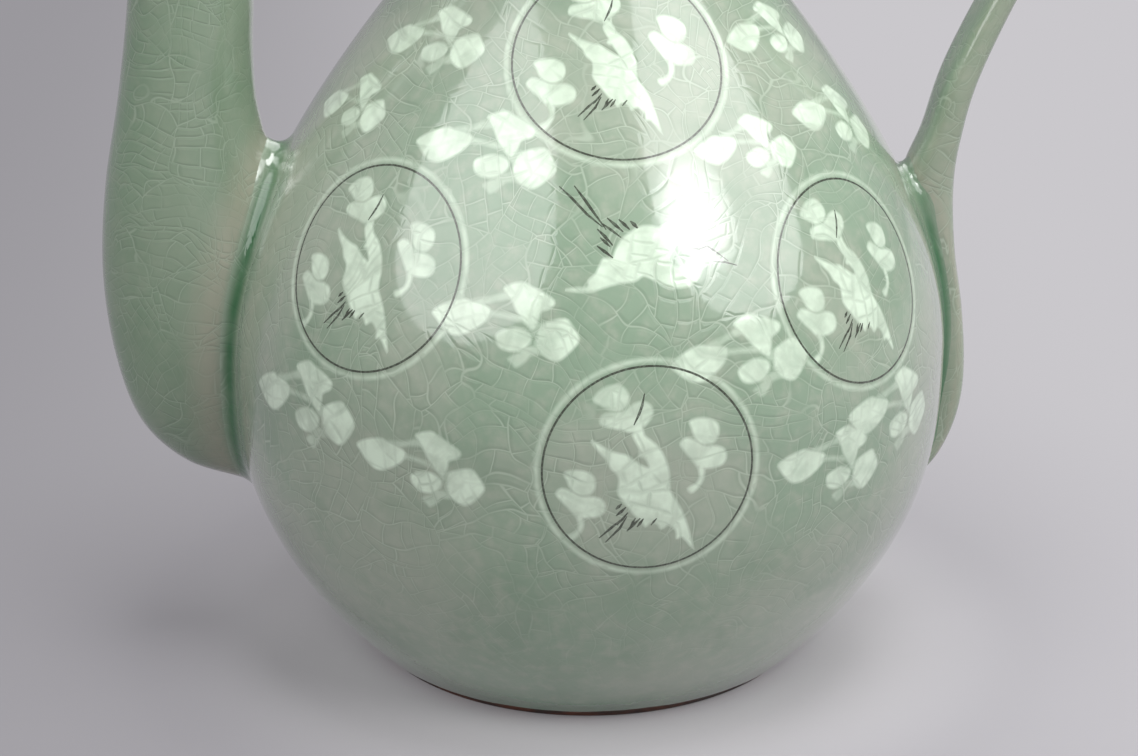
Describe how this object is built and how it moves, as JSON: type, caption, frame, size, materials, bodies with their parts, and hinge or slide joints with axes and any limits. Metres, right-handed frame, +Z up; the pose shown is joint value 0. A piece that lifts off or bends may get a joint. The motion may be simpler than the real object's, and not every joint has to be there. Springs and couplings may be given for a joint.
{
  "type": "double gourd ewer",
  "caption": "Double gourd ewer of inlaid celadon with a hollow S-curved spout, a strap handle and a loose lid, for pouring wine or tea.",
  "frame": {"origin": "on the axis of the two bulbs, at the surface that the foot stands on", "axes": "+Z up along the bulbs' axis, -X towards the spout, +X towards the handle"},
  "size_m": [0.2086, 0.15, 0.266],
  "materials": {
    "celadon_glaze": "glossy crackled celadon glaze over pale clay, with white and black slip inlay",
    "bare_foot": "bare fired clay, matt and dark brown"
  },
  "bodies": {
    "ewer": {"foot_ring": "bare_foot", "lower_bulb_bowl": "celadon_glaze", "lower_bulb_shoulder": "celadon_glaze", "upper_bulb_swell": "celadon_glaze", "upper_bulb_shoulder": "celadon_glaze", "neck_collar": "celadon_glaze", "spout": "celadon_glaze", "handle_strap": "celadon_glaze", "handle_loop": "celadon_glaze"},
    "lid": {"lid_cap": "celadon_glaze", "lid_flange": "celadon_glaze", "lid_stem": "celadon_glaze", "lid_loop": "celadon_glaze"}
  },
  "joints": [
    {"name": "lid_lift", "type": "slide", "parent": "ewer", "child": "lid", "axis": [0, 0, 1], "range_m": [0, 0.06]}
  ]
}
